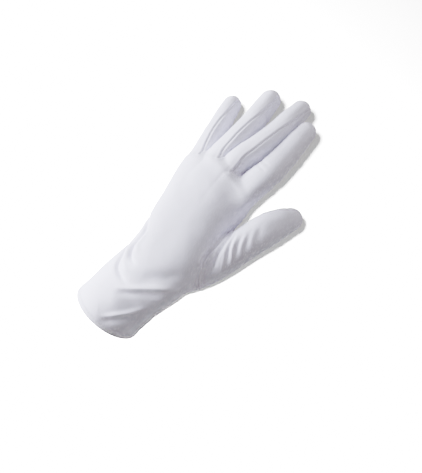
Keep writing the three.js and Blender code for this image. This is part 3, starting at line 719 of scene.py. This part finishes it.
def thread_ways(P, d):
    """Across and along the knit, in mm, at each point."""
    u, v, c = hand_local(P)
    across = np.arctan2(u / c[:, 2], -v / c[:, 3] * np.where(v < 0, 1, 1)) * (c[:, 2] + c[:, 3]) / 2
    palm = v > 0
    across = np.where(palm, np.arctan2(u / c[:, 2], v / c[:, 3]) * (c[:, 2] + c[:, 3]) / 2, across)
    along = P[:, 2].copy()
    w0 = 1 / (np.maximum(d["hand"], 0) + 1.5) ** 3
    A, L, W = across * w0, along * w0, w0.copy()
    for name, T in TUBES.items():
        m = d[name] < 12
        if not m.any():
            continue
        t, x, y, e, w, h = T.local(P[m])
        root, _, _, _, _ = place(T, 0.25)
        ru, rv, rc = hand_local(root[None])
        base = math.atan2(ru[0] / rc[0, 2], 1) * (rc[0, 2] + rc[0, 3]) / 2
        turn = np.arctan2(x / w, np.abs(y / h)) * (w + h) / 2
        wt = 1 / (np.maximum(d[name][m], 0) + 1.5) ** 3 * ease(.0, .3, t)
        A[m] += (base + turn) * wt
        L[m] += (root[2] + (t - .25) * T.length + e) * wt
        W[m] += wt
    return A / W, L / W


# ---------------------------------------------------------------- build

lo, hi = np.array([-78., -36., -6.]), np.array([62., 88., 222.])
V, Q = surface(sample(lo, hi, GRID), lo, GRID)
V = settle(V, 1)
# split each quad along its shorter diagonal
d0, d1 = np.linalg.norm(V[Q[:, 0]] - V[Q[:, 2]], axis=1), np.linalg.norm(V[Q[:, 1]] - V[Q[:, 3]], axis=1)
F = np.vstack([np.where((d0 < d1)[:, None], Q[:, [0, 1, 2]], Q[:, [0, 1, 3]]), np.where((d0 < d1)[:, None], Q[:, [0, 2, 3]], Q[:, [1, 2, 3]])])
V = settle(relax(V, F, 3), 2)

PIECES = ["thumb"] + list(STRIPS) + ["back", "palm"]
FIELDS = [lambda P: P[:, 2] - RIM, thumb_field] + [strip_field(k) for k in STRIPS] + [back_field]
locked = np.zeros(len(V), bool)
taken = np.zeros(len(V), bool)      # already inside a piece that lies on top of the ones to come
for i, fn in enumerate(FIELDS):
    V = snap(V, fn, locked | taken)
    s = fn(V)
    s[(np.abs(s) < .3) & locked] = 0
    s[taken] = 9
    V, F = cut(V, F, s)
    locked = np.concatenate([locked | (np.abs(s) < .12), np.ones(len(V) - len(locked), bool)])
    taken = np.concatenate([taken | ((s < -.4) if 0 < i < 5 else False), np.zeros(len(V) - len(taken), bool)])
area = np.linalg.norm(np.cross(V[F[:, 1]] - V[F[:, 0]], V[F[:, 2]] - V[F[:, 0]]), axis=1)
mid = V[F].mean(1)
F, mid = F[mid[:, 2] > RIM], mid[mid[:, 2] > RIM]
label = np.full(len(F), 5)
label[back_field(mid) < 0] = 4
for k, name in reversed(list(enumerate(STRIPS, 1))):
    label[strip_field(name)(mid) < 0] = k
label[thumb_field(mid) < 0] = 0
label = largest_only(F, label)
used, inv = np.unique(F, return_inverse=True)
V, F = V[used], inv.reshape(F.shape)

# seam points, dense enough to measure from
e = np.sort(np.vstack([F[:, [0, 1]], F[:, [1, 2]], F[:, [2, 0]]]), axis=1)
owner = np.tile(np.arange(len(F)), 3)
order = np.lexsort((e[:, 1], e[:, 0]))
e, owner = e[order], owner[order]
same = np.all(e[1:] == e[:-1], axis=1)
ea, eb, ev = owner[:-1][same], owner[1:][same], e[1:][same]
seam = label[ea] != label[eb]
seam_edges, seam_side = ev[seam], np.sort(np.stack([label[ea][seam], label[eb][seam]], 1), axis=1)
pts, kind = [], []
for t in np.linspace(0, 1, 5)[:-1]:
    pts.append(V[seam_edges[:, 0]] * (1 - t) + V[seam_edges[:, 1]] * t)
    kind.append(np.where(seam_side[:, 0] == 0, 0, np.where(seam_side[:, 0] < 4, 1, 2)))
pts, kind = np.vstack(pts), np.concatenate(kind)
tree = kdtree.KDTree(len(pts))
for i, p in enumerate(pts.tolist()):
    tree.insert(p, i)
tree.balance()
found = [tree.find(p) for p in V.tolist()]
seam_d = np.array([f[2] for f in found])
seam_k = kind[np.array([f[1] for f in found])]

N = unit(gradient(V))
D = distances(V)
hand_near = np.exp(-(np.maximum(D["hand"], 0) / 2.5) ** 2)
lift = np.zeros(len(V))
for row in LINES:
    lift += line_fold(V, N, *row)
lift *= ease(-.5, -.1, N @ SEEN)
lift += round_folds(V) * hand_near
lift = np.clip(lift, -4.6, 2.8)
lift += joint_creases(V, D)
soft = ripple(V, 16, 1) * .36 + ripple(V, 6.5, 2) * .08
lift += soft * ease(2, 14, V[:, 2])

groove = np.array([.5, .5, .1])[seam_k]
ridge = np.array([.36, .36, .06])[seam_k]
pucker = ripple(V, 1.6, 3)
seam_lift = (-groove * np.exp(-((seam_d / .6) ** 2)) + ridge * (1 + .3 * pucker) * np.exp(-(((seam_d - 1.5) / 1.0) ** 2)))
hem = ease(HEM_TOP + .7, HEM_TOP - .2, V[:, 2])
hem_line = -.28 * np.exp(-(((V[:, 2] - HEM_TOP - .2) / .7) ** 2))
fine = seam_lift * (1 - .6 * hem) + HEM_RISE * hem + hem_line

outer = V + N * (lift + fine)[:, None]
inner = V + N * (lift - WALL - HEM_IN * hem)[:, None]
outer[:, 2] = np.where(V[:, 2] <= RIM + 1e-6, RIM, outer[:, 2])
inner[:, 2] = np.where(V[:, 2] <= RIM + 1e-6, RIM, inner[:, 2])
across, along = thread_ways(V, D)
# distance to the nearest seam, which sets the painted shade along the seams
seam_shade_distance = seam_d + np.array([0, 0, .4])[seam_k]      # the side seam shows least


def hem_stitches():
    """Short stitches round the hem. Returns, for each piece they are sewn on, vertices and quads."""
    z0, pitch, half, sides, steps = HEM_TOP - .9, 3.1, 1.05, 8, 6
    E, lab = np.vstack([F[:, [0, 1]], F[:, [1, 2]], F[:, [2, 0]]]), np.tile(label, 3)
    za, zb = V[E[:, 0], 2], V[E[:, 1], 2]
    m = (za < z0) & (zb >= z0)
    E, lab, t = E[m], lab[m], ((z0 - za) / (zb - za + 1e-12))[m][:, None]
    P, Q = outer[E[:, 0]] * (1 - t) + outer[E[:, 1]] * t, N[E[:, 0]] * (1 - t) + N[E[:, 1]] * t
    order = np.argsort(np.arctan2(P[:, 1], P[:, 0]))
    P, Q, lab = P[order], Q[order], lab[order]
    s = np.concatenate([[0], np.cumsum(np.linalg.norm(np.diff(P, axis=0), axis=1))])
    at = lambda A, w: np.stack([np.interp(w, s, A[:, k]) for k in range(3)], 1)
    count = int(s[-1] / pitch)
    out = {}
    for j in range(count):
        mid = (j + .5) * s[-1] / count
        u = -np.cos(np.linspace(0, math.pi, steps + 1))
        w = mid + half * u
        C, n = at(P, w), unit(at(Q, w))
        n[:, 2] = 0
        n = unit(n)
        b = np.tile([0, 0, 1.0], (len(C), 1))
        r = np.sqrt(np.maximum(1 - u ** 2, 0))[:, None] ** .7
        rings = []
        for k in range(sides):
            a = 2 * math.pi * k / sides
            rings.append(C - .03 * n + r * (math.cos(a) * .21 * n + math.sin(a) * .27 * b))
        R = np.stack(rings, 1)
        verts = np.vstack([R[0, :1], R[1:-1].reshape(-1, 3), R[-1, :1]])
        last, faces = len(verts) - 1, []
        for k in range(sides):
            l = (k + 1) % sides
            faces.append([0, 1 + l, 1 + k])
            faces.append([last, last - sides + k, last - sides + l])
            for i in range(steps - 2):
                p = 1 + i * sides
                faces.append([p + k, p + l, p + sides + l, p + sides + k])
        c = verts.mean(0)
        vol = sum(np.dot(verts[f[0]] - c, np.cross(verts[f[1]] - c, verts[f[2]] - c)) for f in faces)
        if vol < 0:
            faces = [f[::-1] for f in faces]
        piece = lab[np.abs(s - mid).argmin()]
        vs, fs = out.setdefault(piece, ([], []))
        base = sum(len(v) for v in vs)
        vs.append(verts)
        fs += [[i + base for i in f] for f in faces]
    return {k: (np.vstack(v), f) for k, (v, f) in out.items()}


STITCHES = hem_stitches()


def mesh_object(name, verts, faces, attr=None, sharp=None):
    me = bpy.data.meshes.new(name)
    me.from_pydata((verts / 1000).tolist(), [], faces.tolist())
    me.polygons.foreach_set("use_smooth", [True] * len(me.polygons))
    if attr is not None:
        a = me.attributes.new("cloth", "FLOAT_VECTOR", "POINT")
        a.data.foreach_set("vector", attr.astype(np.float32).ravel())
    me.update()
    ob = bpy.data.objects.new(name, me)
    bpy.context.scene.collection.objects.link(ob)
    if sharp is not None:
        me.attributes.new("sharp_edge", "BOOLEAN", "EDGE")
        n = len(me.edges)
        ed = np.empty(2 * n, np.int32)
        me.edges.foreach_get("vertices", ed)
        ed = np.sort(ed.reshape(-1, 2), axis=1)
        key = ed[:, 0].astype(np.int64) * len(verts) + ed[:, 1]
        want = np.sort(sharp, axis=1)
        want = want[:, 0].astype(np.int64) * len(verts) + want[:, 1]
        me.attributes["sharp_edge"].data.foreach_set("value", np.isin(key, want))
    return ob


def shell(name, faces, stitches=None):
    """A closed wall from a patch of the outer surface, with the stitches sewn on it."""
    ids, inv = np.unique(faces, return_inverse=True)
    T = inv.reshape(faces.shape)
    n = len(ids)
    O, I = outer[ids].copy(), inner[ids].copy()
    de = np.vstack([T[:, [0, 1]], T[:, [1, 2]], T[:, [2, 0]]])
    key, rev = de[:, 0].astype(np.int64) * n + de[:, 1], de[:, 1].astype(np.int64) * n + de[:, 0]
    rim = de[~np.isin(key, rev)]
    cuff = V[ids][rim].max(axis=(1, 2)) * 0 + V[ids][rim][:, :, 2].max(1) <= RIM + 1e-4
    # a hair's gap along the seams
    c = outer[faces].mean(1)
    pull, cnt = np.zeros((n, 3)), np.zeros(n)
    for j in range(3):
        for k in range(3):
            pull[:, k] += np.bincount(T[:, j], c[:, k], n)
        cnt += np.bincount(T[:, j], minlength=n)
    edge_v = np.unique(rim[~cuff])
    way = pull[edge_v] / cnt[edge_v][:, None] - O[edge_v]
    Ne = N[ids][edge_v]
    way -= (way * Ne).sum(1)[:, None] * Ne
    way = unit(way) * SEAM_OPEN
    way[:, 2] = np.where(V[ids][edge_v][:, 2] <= RIM + 1e-4, 0, way[:, 2])
    O[edge_v] += way
    I[edge_v] += way
    verts, faces_out = [O, I], [T, T[:, ::-1] + n]
    quads = [np.stack([rim[~cuff][:, 1], rim[~cuff][:, 0], rim[~cuff][:, 0] + n, rim[~cuff][:, 1] + n], 1)]
    A = np.stack([across[ids], along[ids], seam_shade_distance[ids]], 1)
    attr = [A, A]
    sharp = [rim[~cuff], rim[~cuff] + n]
    if cuff.any():
        cv = np.unique(rim[cuff])
        pos = np.full(n, -1)
        pos[cv] = np.arange(len(cv))
        mid, half = (O[cv] + I[cv]) / 2, (O[cv] - I[cv]) / 2
        rows, base = [cv], 2 * n
        for ang in (30, 60, 90, 120, 150):
            a = math.radians(ang)
            verts.append(mid + half * math.cos(a) - np.array([0, 0, RIM]) * math.sin(a))
            attr.append(A[cv])
            rows.append(np.arange(len(cv)) + base)
            base += len(cv)
        rows.append(cv + n)
        r = rim[cuff]
        p0, p1 = pos[r[:, 0]], pos[r[:, 1]]
        for a, b in zip(rows[:-1], rows[1:]):
            quads.append(np.stack([a[p1], a[p0], b[p0], b[p1]], 1))
            # the seam's end wall closes the rim
        ends = [i for i in cv if i in set(edge_v.tolist())]
        caps = []
        for i in ends:
            k = pos[i]
            loop = [row[k] for row in rows]
            # the wall's direction decides which way the cap faces
            first = bool(np.any(rim[~cuff][:, 0] == i))
            caps.append(loop if not first else loop[::-1])
    else:
        caps = []
    verts = np.vstack(verts)
    me_faces = [f for block in faces_out for f in block.tolist()] + [q for block in quads for q in block.tolist()] + [list(map(int, c)) for c in caps]
    cloth_faces = len(me_faces)
    if stitches:
        sv, sf = stitches
        me_faces += [[i + len(verts) for i in f] for f in sf]
        verts = np.vstack([verts, sv])
        attr.append(np.tile([0, 0, 5.0], (len(sv), 1)))

    class Faces(list):
        def tolist(self):
            return self
    ob = mesh_object(name, verts, Faces(me_faces), np.vstack(attr), np.vstack(sharp))
    ob.data.materials.append(COTTON)
    if stitches:
        ob.data.materials.append(THREAD)
        ob.data.polygons.foreach_set("material_index", [0] * cloth_faces + [1] * (len(me_faces) - cloth_faces))
    return ob


# ---------------------------------------------------------------- materials

def cloth_material(name, tint=(0.82, 0.8, 0.93)):
    m = bpy.data.materials.new(name)
    m.use_nodes = True
    nt = m.node_tree
    nt.nodes.clear()
    nodes, links = nt.nodes, nt.links

    def node(kind, **values):
        n = nodes.new(kind)
        for k, v in values.items():
            setattr(n, k, v)
        return n

    def math_node(op, a, b=None):
        n = node("ShaderNodeMath", operation=op)
        for i, x in enumerate((a, b)):
            if x is None:
                continue
            if isinstance(x, (int, float)):
                n.inputs[i].default_value = x
            else:
                links.new(x, n.inputs[i])
        return n.outputs[0]
    out = node("ShaderNodeOutputMaterial")
    bsdf = node("ShaderNodeBsdfPrincipled")
    links.new(bsdf.outputs[0], out.inputs[0])
    bsdf.inputs["Roughness"].default_value = 0.9
    bsdf.inputs["Specular IOR Level"].default_value = 0.25
    bsdf.inputs["Sheen Weight"].default_value = 0.22
    bsdf.inputs["Sheen Roughness"].default_value = 0.45
    bsdf.inputs["Sheen Tint"].default_value = (0.95, 0.95, 1, 1)
    at = node("ShaderNodeAttribute", attribute_name="cloth")
    sep = node("ShaderNodeSeparateXYZ")
    links.new(at.outputs["Vector"], sep.inputs[0])
    x, y, far = sep.outputs[0], sep.outputs[1], sep.outputs[2]
    # knit: rows of small V loops
    fx = math_node("SUBTRACT", math_node("FRACT", math_node("MULTIPLY", x, 1 / 0.85)), .5)
    ax = math_node("ABSOLUTE", fx)
    fy = math_node("SUBTRACT", math_node("FRACT", math_node("ADD", math_node("MULTIPLY", y, 1 / 0.7), math_node("MULTIPLY", ax, 1.1))), .5)
    leg = math_node("SUBTRACT", 1, math_node("POWER", math_node("ABSOLUTE", math_node("MULTIPLY", math_node("SUBTRACT", ax, .25), 4)), 2))
    loop = math_node("SUBTRACT", 1, math_node("POWER", math_node("ABSOLUTE", math_node("MULTIPLY", fy, 2)), 2))
    knit = math_node("MULTIPLY", leg, loop)
    co = node("ShaderNodeTexCoord")
    fuzz = node("ShaderNodeTexNoise")
    fuzz.inputs["Scale"].default_value = 1500
    fuzz.inputs["Detail"].default_value = 3
    links.new(co.outputs["Object"], fuzz.inputs["Vector"])
    broad = node("ShaderNodeTexNoise")
    broad.inputs["Scale"].default_value = 90
    broad.inputs["Detail"].default_value = 4
    links.new(co.outputs["Object"], broad.inputs["Vector"])
    b1 = node("ShaderNodeBump")
    b1.inputs["Strength"].default_value = 0.35
    b1.inputs["Distance"].default_value = 0.00012
    links.new(knit, b1.inputs["Height"])
    b2 = node("ShaderNodeBump")
    b2.inputs["Strength"].default_value = 0.2
    b2.inputs["Distance"].default_value = 0.0001
    links.new(fuzz.outputs[0], b2.inputs["Height"])
    links.new(b1.outputs[0], b2.inputs["Normal"])
    links.new(b2.outputs[0], bsdf.inputs["Normal"])
    # colour: painted shade, darker between the knit loops and near the seams, with faint clouding of the yarn's tone at
    # random
    ramp = node("ShaderNodeMix", data_type="RGBA")
    ramp.inputs["A"].default_value = (tint[0] * .93, tint[1] * .925, tint[2] * .92, 1)
    ramp.inputs["B"].default_value = (*tint, 1)
    # painted shade between the loops from the knit's height, added to random clouding of the tone
    cloud_and_loop_shade = math_node("MULTIPLY", math_node("ADD", math_node("MULTIPLY", knit, .35), broad.outputs[0]), .95)
    # painted shade: the colour goes darker towards each seam, over the last 0.6 mm or so
    seam = math_node("MINIMUM", math_node("MULTIPLY", far, 1.6), 1)
    links.new(math_node("MINIMUM", math_node("MULTIPLY", cloud_and_loop_shade, seam), 1), ramp.inputs["Factor"])
    links.new(ramp.outputs["Result"], bsdf.inputs["Base Color"])
    return m


def thread_material(name):
    m = bpy.data.materials.new(name)
    m.use_nodes = True
    nt = m.node_tree
    bsdf = nt.nodes["Principled BSDF"]
    bsdf.inputs["Roughness"].default_value = 0.7
    bsdf.inputs["Sheen Weight"].default_value = 0.15
    co = nt.nodes.new("ShaderNodeTexCoord")
    wave = nt.nodes.new("ShaderNodeTexWave")
    wave.inputs["Scale"].default_value = 900
    wave.bands_direction = "DIAGONAL"
    nt.links.new(co.outputs["Object"], wave.inputs["Vector"])
    bump = nt.nodes.new("ShaderNodeBump")
    bump.inputs["Strength"].default_value = 0.3
    bump.inputs["Distance"].default_value = 0.00005
    nt.links.new(wave.outputs[0], bump.inputs["Height"])
    nt.links.new(bump.outputs[0], bsdf.inputs["Normal"])
    # painted shade: the thread is darker where the twist's wave is low, in its grooves
    mix = nt.nodes.new("ShaderNodeMix")
    mix.data_type = "RGBA"
    mix.inputs["A"].default_value = (.8, .8, .84, 1)
    mix.inputs["B"].default_value = (.88, .88, .92, 1)
    nt.links.new(wave.outputs[0], mix.inputs["Factor"])
    nt.links.new(mix.outputs["Result"], bsdf.inputs["Base Color"])
    return m


COTTON = cloth_material("white_cotton_knit")
THREAD = thread_material("cotton_thread")

for k, name in enumerate(PIECES):
    ob = shell(name + "_cloth", F[label == k], STITCHES.get(k))
    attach(ob, "root")
    # the back and the palm are one panel each, from the cuff to the fingertips
    parts = [name + "_" + f for f in FINGERS] if name in ("back", "palm") else []
    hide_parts(name, *parts)

# ---------------------------------------------------------------- floor, light, camera

FLOOR = bpy.data.materials.new("floor")
FLOOR.use_nodes = True
fb = FLOOR.node_tree.nodes["Principled BSDF"]
fb.inputs["Base Color"].default_value = (.9, .9, .9, 1)
fb.inputs["Roughness"].default_value = .95
fb.inputs["Specular IOR Level"].default_value = 0
me = bpy.data.meshes.new("floor")
n = 12
ring = [(8 * math.cos(2 * math.pi * i / 48), 8 * math.sin(2 * math.pi * i / 48), -0.0004) for i in range(48)]
me.from_pydata(ring, [], [list(range(48))])
floor = bpy.data.objects.new("floor", me)
bpy.context.scene.collection.objects.link(floor)
me.materials.append(FLOOR)

world = bpy.data.worlds.new("studio")
bpy.context.scene.world = world
world.use_nodes = True
bg = world.node_tree.nodes["Background"]
bg.inputs[0].default_value = (1.0, .96, .95, 1)
bg.inputs[1].default_value = .4

AZ, EL, ROLL = map(math.radians, (30, 25, 50))
R0 = Vector((math.cos(AZ), math.sin(AZ), 0))
U0 = Vector((-math.sin(AZ) * math.sin(EL), math.cos(AZ) * math.sin(EL), math.cos(EL)))
TOWARD = Vector((math.sin(AZ) * math.cos(EL), -math.cos(AZ) * math.cos(EL), math.sin(EL)))
RIGHT = math.sin(ROLL) * R0 + math.cos(ROLL) * U0
UPWARD = -math.cos(ROLL) * R0 + math.sin(ROLL) * U0
EYE = Vector((0.5665, -0.9319, 0.6174))
CENTRE = Vector((-0.005, 0.02, 0.105))

cam = bpy.data.cameras.new("camera")
cam.lens, cam.sensor_width, cam.sensor_fit = 120, 36, "AUTO"
co = bpy.data.objects.new("camera", cam)
co.matrix_world = Matrix((
    (RIGHT.x, UPWARD.x, TOWARD.x, EYE.x),
    (RIGHT.y, UPWARD.y, TOWARD.y, EYE.y),
    (RIGHT.z, UPWARD.z, TOWARD.z, EYE.z),
    (0, 0, 0, 1)))
cam.clip_start, cam.clip_end = .05, 30
bpy.context.scene.collection.objects.link(co)
bpy.context.scene.camera = co


def area_light(name, way, dist, size, power, colour):
    d = bpy.data.lights.new(name, "AREA")
    d.shape, d.size, d.energy, d.color = "DISK", size, power, colour
    o = bpy.data.objects.new(name, d)
    way = way.normalized()
    o.location = CENTRE + way * dist
    o.rotation_mode = "QUATERNION"
    o.rotation_quaternion = (-way).to_track_quat("-Z", "Y")
    bpy.context.scene.collection.objects.link(o)
    return o


area_light("key", TOWARD * .02 - RIGHT * .93 + UPWARD * .3, .68, .44, 38, (.86, .88, 1))
area_light("top", TOWARD * .35 - RIGHT * .1 + UPWARD * .93, 1.4, 1.4, 12, (.93, .95, 1))
bounce = area_light("bounce", TOWARD * .55 + RIGHT * .75 + UPWARD * .2, .5, .4, .7, (1, .97, .98))
bounce.location += (RIGHT * .77 + UPWARD * .64) * .12
# the light over the camera falls on the floor alone, and the glove casts its shadow there
over = area_light("floor_light", EYE - CENTRE, (EYE - CENTRE).length, .016, 3000, (1, 1, 1))
over.location = EYE - RIGHT * .016 + UPWARD * .017
lit = bpy.data.collections.new("lit_floor")
lit.objects.link(floor)
over.light_linking.receiver_collection = lit
floor.visible_diffuse = floor.visible_shadow = False
